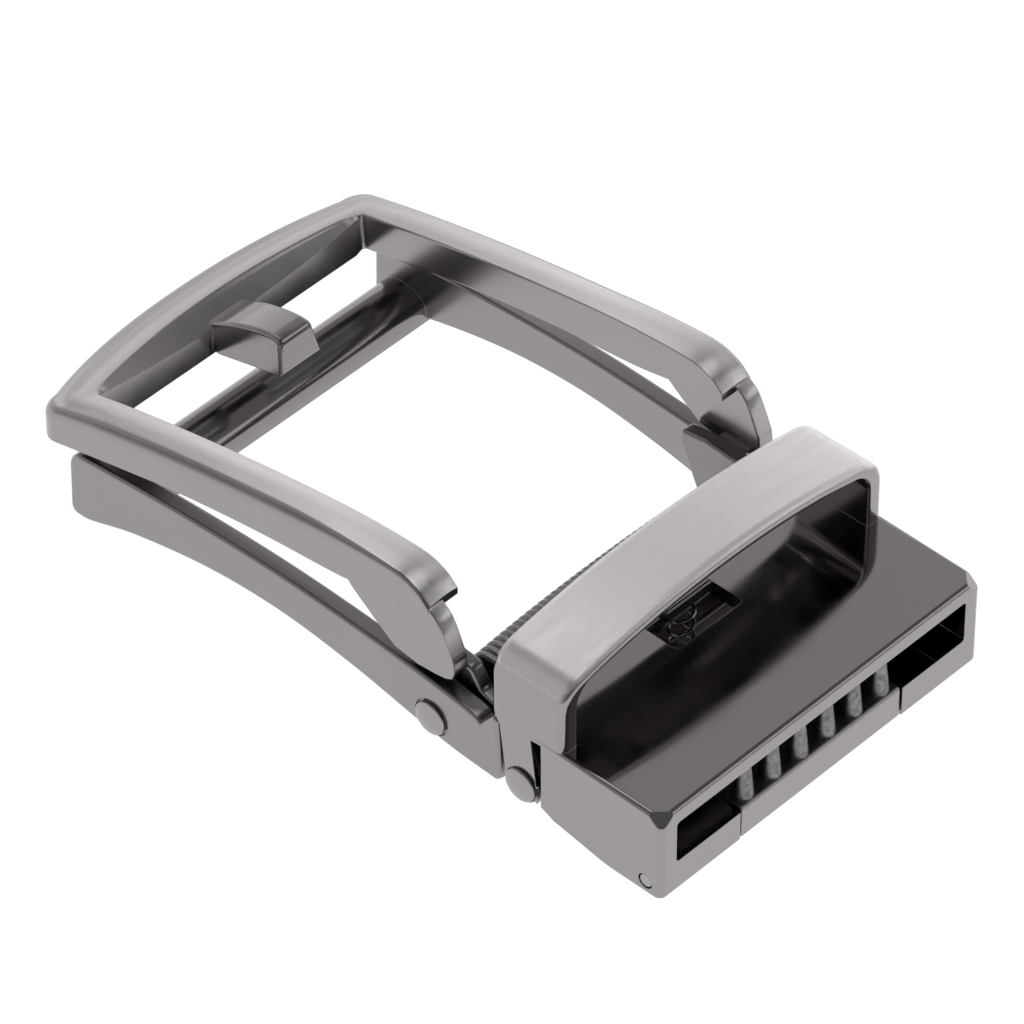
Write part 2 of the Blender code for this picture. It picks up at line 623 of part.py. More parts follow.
clear_scene()
build_back_frame(metal("back_frame_nickel", (0.36, 0.35, 0.36), 0.22))
build_face_frame(metal("face_frame_nickel", (0.42, 0.41, 0.42), 0.26))
build_head(metal("head_nickel", (0.40, 0.39, 0.40), 0.24))
build_clamp_lever(metal("clamp_lever_nickel", (0.38, 0.37, 0.38), 0.3))
build_clamp_pin(metal("clamp_pin_steel", (0.45, 0.45, 0.46), 0.3))
build_release_lever(metal("release_lever_nickel", (0.2, 0.2, 0.21), 0.3))
build_lever_spring(metal("spring_steel", (0.5, 0.5, 0.52), 0.25))
build_rivets(metal("rivet_steel", (0.42, 0.41, 0.42), 0.28))
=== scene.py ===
import math

import bmesh
import bpy
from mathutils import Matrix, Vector


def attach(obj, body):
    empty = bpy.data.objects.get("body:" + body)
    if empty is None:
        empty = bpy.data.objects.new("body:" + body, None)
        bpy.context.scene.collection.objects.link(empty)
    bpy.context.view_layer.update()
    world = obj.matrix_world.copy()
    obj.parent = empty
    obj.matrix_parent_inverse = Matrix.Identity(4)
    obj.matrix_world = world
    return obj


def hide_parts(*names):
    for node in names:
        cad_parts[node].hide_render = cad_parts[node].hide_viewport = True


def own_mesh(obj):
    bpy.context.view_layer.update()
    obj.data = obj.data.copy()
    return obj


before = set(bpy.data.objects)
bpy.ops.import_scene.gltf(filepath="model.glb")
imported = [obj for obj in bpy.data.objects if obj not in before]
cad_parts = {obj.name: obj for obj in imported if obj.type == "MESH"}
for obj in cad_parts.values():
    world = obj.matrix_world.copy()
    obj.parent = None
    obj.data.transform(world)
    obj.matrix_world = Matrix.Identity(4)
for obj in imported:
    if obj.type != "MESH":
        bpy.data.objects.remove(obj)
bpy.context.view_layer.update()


# Studio: a white sweep under a broad overhead softbox, and a long lens looking down
# at the clamp's near corner. The buckle is photographed as a product, without a shadow's edge.
# Sizes are in millimetres, and x is counted from a place CENTRE_SHIFT ahead of the frame's origin.

MM = 0.001
CENTRE_SHIFT = 2.15
CAMERA_PLACE = (326.47, -346.89, 447.29)
VIEW_DIRECTION = (-0.50318, 0.53540, -0.67835)
FOCAL_LENGTH = 266.77

camera_data = bpy.data.cameras.new("camera")
camera_data.sensor_width = 36.0
camera_data.lens = FOCAL_LENGTH
camera_data.clip_start = 0.01
camera = bpy.data.objects.new("camera", camera_data)
camera.location = ((CAMERA_PLACE[0] + CENTRE_SHIFT) * MM, CAMERA_PLACE[1] * MM, CAMERA_PLACE[2] * MM)
camera.rotation_euler = Vector(VIEW_DIRECTION).to_track_quat("-Z", "Y").to_euler()
bpy.context.collection.objects.link(camera)
bpy.context.scene.camera = camera
bpy.context.scene.view_settings.view_transform = "Standard"


def remap(tree, value, low, high, to_low, to_high):
    """Turn a socket's range from low to high into another range, and hold it there."""
    node = tree.nodes.new("ShaderNodeMapRange")
    for socket, number in zip(("From Min", "From Max", "To Min", "To Max"), (low, high, to_low, to_high)):
        node.inputs[socket].default_value = number
    tree.links.new(value, node.inputs["Value"])
    return node.outputs[0]


# The room's brightness by height: white walls low down, a dimmer band, a bright cove, a dark ceiling
HORIZON = (0.9, 0.9, 0.9, 1.0)
CEILING = (0.2, 0.196, 0.2, 1.0)
WALL_LEVELS = ((0.10, 0.8), (0.30, 0.42), (0.5, 0.30), (0.64, 0.58), (0.71, 0.52), (0.80, 0.16))

world = bpy.data.worlds.new("studio")
world.use_nodes = True
bpy.context.scene.world = world
room = world.node_tree
direction = room.nodes.new("ShaderNodeTexCoord")
split = room.nodes.new("ShaderNodeSeparateXYZ")
ramp = room.nodes.new("ShaderNodeValToRGB")
ramp.color_ramp.elements[0].position = 0.0
ramp.color_ramp.elements[0].color = HORIZON
ramp.color_ramp.elements[1].position = 1.0
ramp.color_ramp.elements[1].color = CEILING
for place, brightness in WALL_LEVELS:
    stop = ramp.color_ramp.elements.new(place)
    stop.color = (brightness, brightness * 0.98, brightness, 1.0)
dimmer_right = remap(room, split.outputs["X"], 0.1, 0.7, 1.0, 0.3)
room.links.new(direction.outputs["Generated"], split.inputs[0])
room.links.new(split.outputs["Z"], ramp.inputs[0])
room.links.new(ramp.outputs[0], room.nodes["Background"].inputs["Color"])
room.links.new(dimmer_right, room.nodes["Background"].inputs["Strength"])


def softbox(name, place, size, power):
    """A rectangular softbox, in metres and watts, that faces the buckle."""
    light_data = bpy.data.lights.new(name, "AREA")
    light_data.shape = "RECTANGLE"
    light_data.size, light_data.size_y = size
    light_data.energy = power
    light = bpy.data.objects.new(name, light_data)
    light.location = place
    buckle = Vector((0.0, 0.0, 0.01))
    light.rotation_euler = (buckle - Vector(place)).to_track_quat("-Z", "Y").to_euler()
    bpy.context.collection.objects.link(light)


softbox("overhead_softbox", (0.10, 0.10, 0.75), (0.5, 0.4), 0.6)
softbox("back_right_softbox", (0.55, 0.50, 0.36), (0.4, 0.25), 0.36)
softbox("back_softbox", (-0.05, 0.75, 0.28), (0.6, 0.3), 0.45)
softbox("back_left_softbox", (-0.62, 0.53, 0.30), (0.6, 0.42), 0.5)
softbox("high_left_softbox", (-0.42, 0.12, 0.62), (0.3, 0.3), 0.27)
softbox("left_softbox", (-0.72, -0.05, 0.30), (0.5, 0.3), 0.15)

FLOOR_GAP = 0.00003
floor_mesh = bpy.data.meshes.new("floor")
sweep = bmesh.new()
bmesh.ops.create_grid(sweep, x_segments=1, y_segments=1, size=3.0)
bmesh.ops.translate(sweep, vec=(0.0, 0.0, -FLOOR_GAP), verts=sweep.verts)
sweep.to_mesh(floor_mesh)
sweep.free()
floor = bpy.data.objects.new("floor", floor_mesh)
bpy.context.collection.objects.link(floor)
paper = bpy.data.materials.new("white_paper")
paper.use_nodes = True
paper_shader = paper.node_tree.nodes["Principled BSDF"]
paper_shader.inputs["Base Color"].default_value = (0.12, 0.12, 0.12, 1.0)
paper_shader.inputs["Roughness"].default_value = 1.0
paper_shader.inputs["Specular IOR Level"].default_value = 0.0
paper_shader.inputs["Emission Color"].default_value = (1.0, 1.0, 1.0, 1.0)
paper_shader.inputs["Emission Strength"].default_value = 1.0
floor_mesh.materials.append(paper)


# Back frame: a zinc alloy die casting, two arched rails joined by a round crossbar, gunmetal
# plated and polished by tumbling, so its edges are soft. The head's rivets go through inner tongues.

HALF_WIDTH = 20.0
INNER_HALF = 18.1
FRAME_PIVOT = (10.0, 3.9)
HEAD_PIVOT = (20.35, 3.05)
RAIL_OUTER_ROUND = 0.42
RAIL_INNER_ROUND = 0.3
CROSSBAR_X = (-32.5, -27.0)
CROSSBAR_BOTTOM = 0.9
CROSSBAR_FOOT = 1.25
CROSSBAR_SIDE = 1.9
CROSSBAR_RISE = 2.4
CROSSBAR_FULLNESS = 0.8
CROSSBAR_BURIED = 0.8
TONGUE_Y = (16.2, 17.8)
TONGUE_ROOT_Y = (16.5, 19.5)
RIVET_SEAT = (1.86, 0.3)


def smooth_curve(points, steps):
    """A smooth curve through every point, with a number of steps from each point to the next."""
    ends = [points[0], *points, points[-1]]
    curve = []
    for a, b, c, d in zip(ends, ends[1:], ends[2:], ends[3:]):
        for step in range(steps):
            t = step / steps
            curve.append(tuple(0.5 * (2 * q + (r - p) * t + (2 * p - 5 * q + 4 * r - s) * t * t
                                      + (3 * q - p - 3 * r + s) * t ** 3)
                               for p, q, r, s in zip(a, b, c, d)))
    curve.append(tuple(points[-1]))
    return curve


def round_corners(outline, radii, steps=5):
    """Replace each corner of a closed outline that has a radius by an arc."""
    result = []
    count = len(outline)
    for index, (corner, radius) in enumerate(zip(outline, radii)):
        here = Vector(corner)
        if radius <= 0:
            result.append(here)
            continue
        before = (Vector(outline[index - 1]) - here).normalized()
        after = (Vector(outline[(index + 1) % count]) - here).normalized()
        half = before.angle(after) / 2
        centre = here + (before + after).normalized() * (radius / math.sin(half))
        start = here + before * (radius / math.tan(half)) - centre
        end = here + after * (radius / math.tan(half)) - centre
        for step in range(steps + 1):
            result.append(centre + start.slerp(end, step / steps).normalized() * radius)
    return [tuple(point) for point in result]


def top_of(extrusion):
    """The vertices that an extrusion has just made."""
    return [part for part in extrusion["geom"] if isinstance(part, bmesh.types.BMVert)]


def extruded(outline, low, high, axis="Y"):
    """A prism: a side view along Y, an end view along X or a plan along Z, from low to high."""
    gap = "XYZ".index(axis)
    shape = bmesh.new()
    corners = [shape.verts.new((*point[:gap], low, *point[gap:])) for point in outline]
    face = shape.faces.new(corners)
    lid = bmesh.ops.extrude_face_region(shape, geom=[face], use_keep_orig=True)
    step = [high - low if letter == axis else 0.0 for letter in "XYZ"]
    bmesh.ops.translate(shape, vec=step, verts=top_of(lid))
    bmesh.ops.recalc_face_normals(shape, faces=shape.faces)
    return shape


def brick(low, high):
    """A block between two corners."""
    shape = bmesh.new()
    bmesh.ops.create_cube(shape, size=1.0)
    bmesh.ops.scale(shape, vec=[b - a for a, b in zip(low, high)], verts=shape.verts)
    bmesh.ops.translate(shape, vec=[(a + b) / 2 for a, b in zip(low, high)], verts=shape.verts)
    return shape


def one_side(side, depths):
    """Lowest and highest y of a plate on the near (-1) or far (1) side, from its two depths."""
    return sorted((side * depths[0], side * depths[1]))


def level_with(value, plane):
    """True on a plane, to a thousandth of a millimetre."""
    return abs(value - plane) < 0.001


def across_plate(middle, along):
    """True for an edge of a plate's faces, not for one that runs through its thickness."""
    return abs(along.y) < 0.5


def soften(shape, wanted, width, segments=4):
    """Round the edges that pass a test on their middle and direction."""
    chosen = []
    for edge in shape.edges:
        middle = (edge.verts[0].co + edge.verts[1].co) / 2
        along = (edge.verts[1].co - edge.verts[0].co).normalized()
        if wanted(middle, along):
            chosen.append(edge)
    bmesh.ops.bevel(shape, geom=chosen, offset=width, offset_type="OFFSET", segments=segments,
                    profile=0.5, affect="EDGES", material=-1)
    return shape


def round_cutter(pivot, y, radius, depth):
    """A cutter that sinks a round seat of a given depth into a side face, around a pivot."""
    cutter = bmesh.new()
    bmesh.ops.create_cone(cutter, cap_ends=True, segments=64, radius1=radius, radius2=radius, depth=depth * 2)
    bmesh.ops.rotate(cutter, cent=(0, 0, 0), verts=cutter.verts,
                     matrix=Vector((0, 0, 1)).rotation_difference(Vector((0, 1, 0))).to_matrix())
    bmesh.ops.translate(cutter, vec=(pivot[0], y, pivot[1]), verts=cutter.verts)
    return cutter


MERGED = 0.0005
CREASE = math.radians(28)
FLAT_FACES_WEIGHT = 80


def raw_object(name, shape):
    """Store a bmesh in millimetres as an object in metres, at the origin."""
    bmesh.ops.remove_doubles(shape, verts=shape.verts, dist=MERGED)
    bmesh.ops.recalc_face_normals(shape, faces=shape.faces)
    bmesh.ops.translate(shape, vec=(CENTRE_SHIFT, 0.0, 0.0), verts=shape.verts)
    bmesh.ops.scale(shape, vec=(MM, MM, MM), verts=shape.verts)
    mesh = bpy.data.meshes.new(name)
    shape.to_mesh(mesh)
    shape.free()
    item = bpy.data.objects.new(name, mesh)
    bpy.context.collection.objects.link(item)
    return item


def casting(name, body, added=(), removed=()):
    """Fuse shells into one casting, cut its openings and shade it with crisp edges."""
    item = raw_object(name, body)
    tools = []
    for operation, shells in (("UNION", added), ("DIFFERENCE", removed)):
        for shell in shells:
            tool = raw_object(name + "_tool_%d" % len(tools), shell)
            modifier = item.modifiers.new(tool.name, "BOOLEAN")
            modifier.operation = operation
            modifier.object = tool
            modifier.solver = "EXACT"
            tools.append(tool)
    if tools:
        graph = bpy.context.evaluated_depsgraph_get()
        fused = bpy.data.meshes.new_from_object(item.evaluated_get(graph))
        item.modifiers.clear()
        item.data = fused
        for tool in tools:
            bpy.data.objects.remove(tool, do_unlink=True)
    item.data.shade_smooth()
    item.data.set_sharp_from_angle(angle=CREASE)
    weighted = item.modifiers.new("Flat faces stay flat", "WEIGHTED_NORMAL")
    weighted.keep_sharp = True
    weighted.weight = FLAT_FACES_WEIGHT
    return item


# Plating, as it shows on every casting: noise scales per metre, and the grain's scales along and across
SMUDGES = 140.0
TUMBLING_MARKS = 1400.0
HAIRLINE_GRAIN = (40.0, 9000.0)
LANE_GRAIN = (25.0, 1500.0)


def plated(name, dark, polish, light=None, satin=0.3, grain="Y", brushed_above=None,
           edge_radius=0.1, bite=0.04, mottle=None):
    """Gunmetal plating: dark and polished, with faint smudges and tumbling marks. A mottle is the scale
    of a stained, unpolished skin. With a light tone, a wheel has brushed the plating through to a
    lighter satin metal, above a height and where the surface faces up, in lines along the grain."""
    material = bpy.data.materials.new(name)
    material.use_nodes = True
    tree = material.node_tree
    nodes, links = tree.nodes, tree.links
    shader = nodes["Principled BSDF"]
    shader.inputs["Metallic"].default_value = 1.0
    place = nodes.new("ShaderNodeTexCoord")

    def noise(scale, detail, vector=None):
        texture = nodes.new("ShaderNodeTexNoise")
        texture.inputs["Scale"].default_value = scale
        texture.inputs["Detail"].default_value = detail
        links.new(vector or place.outputs["Object"], texture.inputs["Vector"])
        return texture.outputs["Fac"]

    def grain_noise(scales, detail):
        along, across = scales
        stretch = nodes.new("ShaderNodeMapping")
        links.new(place.outputs["Object"], stretch.inputs["Vector"])
        stretch.inputs["Scale"].default_value = [along if letter == grain else across for letter in "XYZ"]
        return noise(1.0, detail, stretch.outputs[0])

    def blend(factor, first, second, kind="FLOAT"):
        node = nodes.new("ShaderNodeMix")
        node.data_type = kind
        ends = [s for s in node.inputs if s.type == ("VALUE" if kind == "FLOAT" else kind)]
        ends = [s for s in ends if s.name in ("A", "B")]
        for socket, value in zip((node.inputs[0], *ends), (factor, first, second)):
            if hasattr(value, "links"):
                links.new(value, socket)
            else:
                socket.default_value = value
        return next(s for s in node.outputs if s.type == ends[0].type)

    def varied(factor, tone, darker, lighter):
        ends = [tuple(channel * share for channel in tone) + (1.0,) for share in (darker, lighter)]
        return blend(factor, *ends, "RGBA")

    def times(first, second):
        node = nodes.new("ShaderNodeMath")
        node.operation = "MULTIPLY"
        links.new(first, node.inputs[0])
        links.new(second, node.inputs[1])
        return node.outputs[0]

    smudge = noise(SMUDGES, 3.0)
    tumbled = noise(TUMBLING_MARKS, 2.0)
    rounded = nodes.new("ShaderNodeBevel")
    rounded.samples = 4
    rounded.inputs["Radius"].default_value = edge_radius * MM
    bump = nodes.new("ShaderNodeBump")
    bump.inputs["Distance"].default_value = 0.01 * MM
    links.new(rounded.outputs[0], bump.inputs["Normal"])
    links.new(bump.outputs[0], shader.inputs["Normal"])
    uneven, stain = (0.9, noise(mottle, 3.0)) if mottle else (0.05, smudge)
    dark_tone = varied(stain, dark, 1 - uneven, 1 + uneven)
    polish_level = remap(tree, smudge, 0.3, 0.7, polish - 0.03, polish + 0.05)
    if light is None:
        bump.inputs["Strength"].default_value = bite
        links.new(tumbled, bump.inputs["Height"])
        links.new(dark_tone, shader.inputs["Base Color"])
        links.new(polish_level, shader.inputs["Roughness"])
        return material

    hairlines = grain_noise(HAIRLINE_GRAIN, 2.0)
    lanes = grain_noise(LANE_GRAIN, 3.0)
    facing = nodes.new("ShaderNodeSeparateXYZ")
    links.new(place.outputs["Normal"], facing.inputs[0])
    height = nodes.new("ShaderNodeSeparateXYZ")
    links.new(place.outputs["Object"], height.inputs[0])
    brushed = remap(tree, height.outputs["Z"], brushed_above * MM, (brushed_above + 0.3) * MM, 0.0, 1.0)
    if grain == "X":
        # The wheel runs lengthwise: it spares the arms' flanks and the bar's end, and bites more uphill
        masks = (("Z", 0.3, 0.5, 0.0, 1.0), ("X", -0.5, -0.34, 0.0, 1.0),
                 ("Y", -0.40, -0.28, 0.0, 1.0), ("Y", 0.28, 0.40, 1.0, 0.0))
        brushed = times(brushed, remap(tree, height.outputs["Z"], 10.0 * MM, 17.0 * MM, 0.2, 1.0))
    else:
        masks = (("Z", 0.42, 0.66, 0.0, 1.0),)
    for axis, *limits in masks:
        brushed = times(brushed, remap(tree, facing.outputs[axis], *limits))
    light_tone = blend(0.5, varied(hairlines, light, 0.90, 1.08), varied(lanes, light, 0.95, 1.03), "RGBA")
    satin_level = remap(tree, lanes, 0.3, 0.7, satin - 0.05, satin + 0.06)
    links.new(blend(brushed, dark_tone, light_tone, "RGBA"), shader.inputs["Base Color"])
    links.new(blend(brushed, polish_level, satin_level), shader.inputs["Roughness"])
    links.new(remap(tree, brushed, 0.0, 1.0, 0.03, 0.16), bump.inputs["Strength"])
    links.new(hairlines, bump.inputs["Height"])
    across_grain = nodes.new("ShaderNodeCombineXYZ")
    across_grain.inputs["Y" if grain == "X" else "X"].default_value = 1.0
    links.new(across_grain.outputs[0], shader.inputs["Tangent"])
    shader.inputs["Anisotropic"].default_value = 0.6
    return material


def refinish(item, material, wanted):
    """Give the faces that pass a test on their middle and normal a finish of their own."""
    item.data.materials.append(material)
    for face in item.data.polygons:
        middle = face.center / MM
        if wanted(Vector((middle.x - CENTRE_SHIFT, middle.y, middle.z)), face.normal):
            face.material_index = len(item.data.materials) - 1


def dress(item, material, body, nodes):
    """Give a piece its plating, its body and the CAD nodes that it stands for."""
    item.data.materials.clear()
    item.data.materials.append(material)
    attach(item, body)
    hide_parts(*nodes)


rail_top = smooth_curve(((-31.6, 7.2), (-20.0, 8.25), (-8.0, 8.75), (4.0, 8.4), (13.6, 7.5),
                         (15.5, 6.85)), 10)
rail_bottom = smooth_curve(((17.4, 1.4), (12.7, 1.65), (8.4, 2.3), (0.3, 3.7), (-8.0, 4.4), (-16.5, 3.85),
                            (-25.1, 2.1), (-30.6, 0.3), (-32.0, 0.03)), 10)
rail_right = round_corners([(15.5, 6.85), (17.1, 8.85), (17.6, 8.2), (18.0, 2.0), (17.4, 1.4)],
                           (0.0, 0.45, 0.45, 0.45, 0.0))[1:-1]
rail_left = round_corners([(-32.0, 0.03), (-33.4, 0.03), (-33.3, 7.05), (-31.6, 7.2)],
                          (0.0, 0.9, 1.6, 0.0))[1:-1]
rail = extruded(rail_top + rail_right + rail_bottom + rail_left, -HALF_WIDTH, -INNER_HALF)
soften(rail, lambda middle, along: level_with(middle.y, -HALF_WIDTH), RAIL_OUTER_ROUND, 5)
soften(rail, lambda middle, along: level_with(middle.y, -INNER_HALF), RAIL_INNER_ROUND, 4)
rail_far = rail.copy()
bmesh.ops.scale(rail_far, vec=(1.0, -1.0, 1.0), verts=rail_far.verts)

crossbar_middle = sum(CROSSBAR_X) / 2
crossbar_half = (CROSSBAR_X[1] - CROSSBAR_X[0]) / 2
crossbar_outline = [(CROSSBAR_X[0] + 0.4, CROSSBAR_BOTTOM), (CROSSBAR_X[1] - 0.4, CROSSBAR_BOTTOM),
                    (CROSSBAR_X[1] - 0.05, CROSSBAR_FOOT)]
for step in range(29):
    turn = math.pi * step / 28
    crossbar_outline.append((crossbar_middle + crossbar_half * math.cos(turn),
                             CROSSBAR_SIDE + CROSSBAR_RISE * math.sin(turn) ** CROSSBAR_FULLNESS))
crossbar_outline.append((CROSSBAR_X[0] + 0.05, CROSSBAR_FOOT))
crossbar = extruded(crossbar_outline, -INNER_HALF - CROSSBAR_BURIED, INNER_HALF + CROSSBAR_BURIED)

tongue_side = round_corners([(16.9, 1.5), (21.2, 1.5), (22.4, 2.7), (22.4, 4.6), (20.9, 6.7), (16.9, 6.7)],
                            (0.3, 0.8, 0.5, 0.8, 0.8, 0.3), 4)
tongues = []
recesses = []
for side in (-1, 1):
    tongues.append(soften(extruded(tongue_side, *one_side(side, TONGUE_Y)), across_plate, 0.15, 2))
    root_low, root_high = one_side(side, TONGUE_ROOT_Y)
    tongues.append(brick((16.95, root_low, 1.8), (17.6, root_high, 6.5)))
    recesses.append(round_cutter(FRAME_PIVOT, side * HALF_WIDTH, *RIVET_SEAT))

back_frame = casting("back_frame_casting", rail, [rail_far, crossbar, *tongues], recesses)
polished_gunmetal = plated("polished_gunmetal", (0.285, 0.265, 0.276), 0.25)
# The crossbar takes a darker, smoother copy of the polished plating: the smoother polish is its finish, and
# the darker tone is painted shade for the dark underside that it reflects.
crossbar_painted_shade = plated("crossbar_painted_shade", (0.25, 0.233, 0.242), 0.15)
dress(back_frame, polished_gunmetal, "back_frame", ["back_frame"])
refinish(back_frame, crossbar_painted_shade,
         lambda middle, normal: middle.x < CROSSBAR_X[1] + 0.1 and abs(middle.y) < INNER_HALF - 0.05)


# Face frame: the part seen when the belt is worn. One zinc casting: a bowed end bar, two arched
# arms that curl down over the legs, hinge ears and the fixed prong. Its top is brushed lengthwise.

ARM_INNER = 16.35
BAR_OUTER_X = (-36.4, -40.3)
BAR_CORNER_RADIUS = 2.2
WINDOW_X = (-33.5, -35.7)
WINDOW_FOOT = -33.1
WINDOW_RADIUS = 0.8
HOLLOW_FLOOR = 9.9
CHAMFER_DROP = 0.3
SHOULDER_ROUND = 1.25
SHARP_SHOULDER_ROUND = 0.5
SMALL_ROUND = 0.3
TOP_CROWN = 0.14
LEG_Y = (19.92, INNER_HALF)
EAR_Y = (16.2, 17.75)
WEB_Y = (18.7, 17.25)
PRONG_HALF = 2.2
face_top = smooth_curve(((-41.0, 9.2), (-36.4, 10.5), (-27.8, 12.75), (-16.2, 15.2), (-3.3, 17.3),
                         (5.2, 17.95), (8.0, 17.45), (9.4, 16.4), (9.8, 15.9)), 16)
face_bottom = smooth_curve(((-41.0, 6.0), (-36.4, 6.6), (-27.0, 8.85), (-19.4, 10.55), (-10.0, 12.1),
                            (-0.6, 13.2), (5.0, 14.35), (9.4, 15.35), (9.8, 15.4)), 16)


def level(curve, x):
    """Height of a curve above one place."""
    for (x0, z0), (x1, z1) in zip(curve, curve[1:]):
        if x0 <= x <= x1:
            return z0 + (z1 - z0) * (x - x0) / (x1 - x0)
    return curve[-1][1]


def quarter(steps):
    """Sine and cosine at even steps through a right angle."""
    turns = [math.radians(90 * step / steps) for step in range(steps + 1)]
    return [(math.sin(turn), math.cos(turn)) for turn in turns]


def arm_section(outer, inner, foot, lens_drop, foot_drop):
    """Closed section of the face frame, from its outer foot over the brushed top to its inner foot."""
    span = math.hypot(inner[0] - outer[0], inner[1] - outer[1])
    toward = ((inner[0] - outer[0]) / span, (inner[1] - outer[1]) / span)
    high_out, high_in = level(face_top, outer[0]), level(face_top, inner[0])
    low_out, low_in = level(face_bottom, outer[0]), level(face_bottom, foot[0]) - foot_drop
    sharpening = min(1.0, max(0.0, (outer[0] + 6.0) / 11.0))
    tall = max(0.05, high_out - low_out)
    shoulder = min(SHOULDER_ROUND - (SHOULDER_ROUND - SHARP_SHOULDER_ROUND) * sharpening, 0.8 * tall)
    small = min(SMALL_ROUND, 0.1 * tall)
    points = []

    def add(reach, z):
        points.append((outer[0] + toward[0] * reach, outer[1] + toward[1] * reach, z))

    for sine, cosine in quarter(3):
        add(small * (1 - sine), low_out + small * (1 - cosine))
    for sine, cosine in quarter(8):
        add(shoulder * (1 - cosine), high_out - shoulder * (1 - sine))
    for share in (0.2, 0.4, 0.6, 0.8):
        add(shoulder + (span - shoulder - small) * share,
            high_out + (high_in - high_out) * share + TOP_CROWN * math.sin(math.pi * share))
    wall = (foot[0] - inner[0], foot[1] - inner[1])
    for step in range(5):
        share = step / 4
        fall, ease = share * share, 1 - (1 - share) ** 2
        points.append((inner[0] - toward[0] * small * (1 - ease) + wall[0] * 0.12 * fall,
                       inner[1] - toward[1] * small * (1 - ease) + wall[1] * 0.12 * fall,
                       high_in - lens_drop * 0.3 * fall))
    points.append((foot[0], foot[1], high_in - lens_drop))
    for sine, cosine in quarter(3):
        back = small * (1 - cosine)
        points.append((foot[0] - toward[0] * back, foot[1] - toward[1] * back, low_in + small * (1 - sine)))
    return points


def bowed(ends, half, y, power):
    """Place along the buckle of a bowed line, from its places at the corner and in the middle."""
    corner_x, middle_x = ends
    return middle_x + (corner_x - middle_x) * abs(y / half) ** power


def skin(sections, caps):
    """Skin closed loops by extruding each loop's edges on to the next one."""
    shape = bmesh.new()
    loop = [shape.verts.new(point) for point in sections[0]]
    ring = [shape.edges.new((a, b)) for a, b in zip(loop, loop[1:] + loop[:1])]
    if caps[0]:
        shape.faces.new(loop)
    for section in sections[1:]:
        made = bmesh.ops.extrude_edge_only(shape, edges=ring)["geom"]
        fresh = {part for part in made if isinstance(part, bmesh.types.BMVert)}
        ring = [part for part in made if isinstance(part, bmesh.types.BMEdge)
                and part.verts[0] in fresh and part.verts[1] in fresh]
        loop = [next(e.other_vert(v) for e in v.link_edges if e.other_vert(v) in fresh) for v in loop]
        for vertex, point in zip(loop, section):
            vertex.co = point
    if caps[1]:
        shape.faces.new(loop)
    return shape


def mirrored(shape):
    """Add the far half of a bmesh that holds the near half."""
    bmesh.ops.mirror(shape, geom=shape.verts[:] + shape.edges[:] + shape.faces[:], axis="Y",
                     merge_dist=MERGED)
    return shape


corner_y = HALF_WIDTH - BAR_CORNER_RADIUS
inner_y = ARM_INNER - WINDOW_RADIUS
foot_top = level(face_top, WINDOW_FOOT) - CHAMFER_DROP
sections = []
for step in range(17):
    share = step / 16
    y_out, y_in = -corner_y * share, -inner_y * share
    outer = (bowed(BAR_OUTER_X, HALF_WIDTH, y_out, 2.25), y_out)
    inner = (bowed(WINDOW_X, ARM_INNER, y_in, 2.0), y_in)
    drop = level(face_top, inner[0]) - (HOLLOW_FLOOR + (foot_top - HOLLOW_FLOOR) * share ** 2)
    sections.append(arm_section(outer, inner, (WINDOW_FOOT, y_in), drop, 0.5))
corner_x = sections[-1][4][0] + BAR_CORNER_RADIUS
for step in range(1, 11):
    turn = math.radians(180 + 90 * step / 10)
    outer = (corner_x + BAR_CORNER_RADIUS * math.cos(turn), -corner_y + BAR_CORNER_RADIUS * math.sin(turn))
    inner = (WINDOW_X[0] + WINDOW_RADIUS * (1 + math.cos(turn)), -inner_y + WINDOW_RADIUS * math.sin(turn))
    foot = (max(inner[0], WINDOW_FOOT), inner[1])
    drop = level(face_top, inner[0]) - level(face_top, foot[0]) + CHAMFER_DROP
    sections.append(arm_section(outer, inner, foot, drop, 0.5 * (1 - step / 10)))
stations = [-31.0 + 1.6 * step for step in range(23)] + [5.4, 6.4, 7.2, 7.8, 8.3, 8.7, 9.05, 9.3, 9.5, 9.65]
for x in stations:
    drop = min(CHAMFER_DROP, 0.3 * (level(face_top, x) - level(face_bottom, x)))
    sections.append(arm_section((x, -HALF_WIDTH), (x, -ARM_INNER), (x, -ARM_INNER), drop, 0.0))
hoop = mirrored(skin(sections, (False, True)))

leg_outline = [(0.3, 13.6), (1.2, 12.5), (3.3, 10.9), (5.7, 9.2), (8.3, 8.85), (10.4, 9.05), (11.6, 9.25),
               (12.25, 9.6), (12.55, 10.4)]
leg_outline += smooth_curve(((12.4, 11.6), (11.4, 13.9), (10.7, 15.1), (9.75, 15.9)), 5)
leg_outline += [(8.9, 16.2), (5.0, 15.8)]
ear_outline = round_corners([(4.9, 8.4), (7.5, 2.6), (9.0, 1.75), (11.2, 1.75), (14.6, 4.2), (15.3, 5.6),
                             (15.3, 7.0), (13.6, 7.55), (12.4, 9.6), (8.0, 9.9), (5.2, 9.5)],
                            (0.5, 0.8, 1.0, 0.9, 0.5, 0.4, 0.5, 0.8, 1.0, 0.5, 0.4), 5)
web_outline = round_corners([(8.2, 9.0), (11.4, 9.0), (11.4, 9.7), (8.2, 9.7)], (0.0, 0.2, 0.2, 0.0), 3)


def clear_of_arm(middle, along):
    """True for the edges of the leg plate's faces that show below the arm."""
    return across_plate(middle, along) and middle.x > 1.5


legs_and_ears = []
for side in (-1, 1):
    leg = extruded(leg_outline, *one_side(side, LEG_Y))
    legs_and_ears.append(soften(leg, clear_of_arm, 0.2, 3))
    ear = extruded(ear_outline, *one_side(side, EAR_Y))
    legs_and_ears.append(soften(ear, across_plate, 0.38, 4))
    legs_and_ears.append(extruded(web_outline, *one_side(side, WEB_Y)))

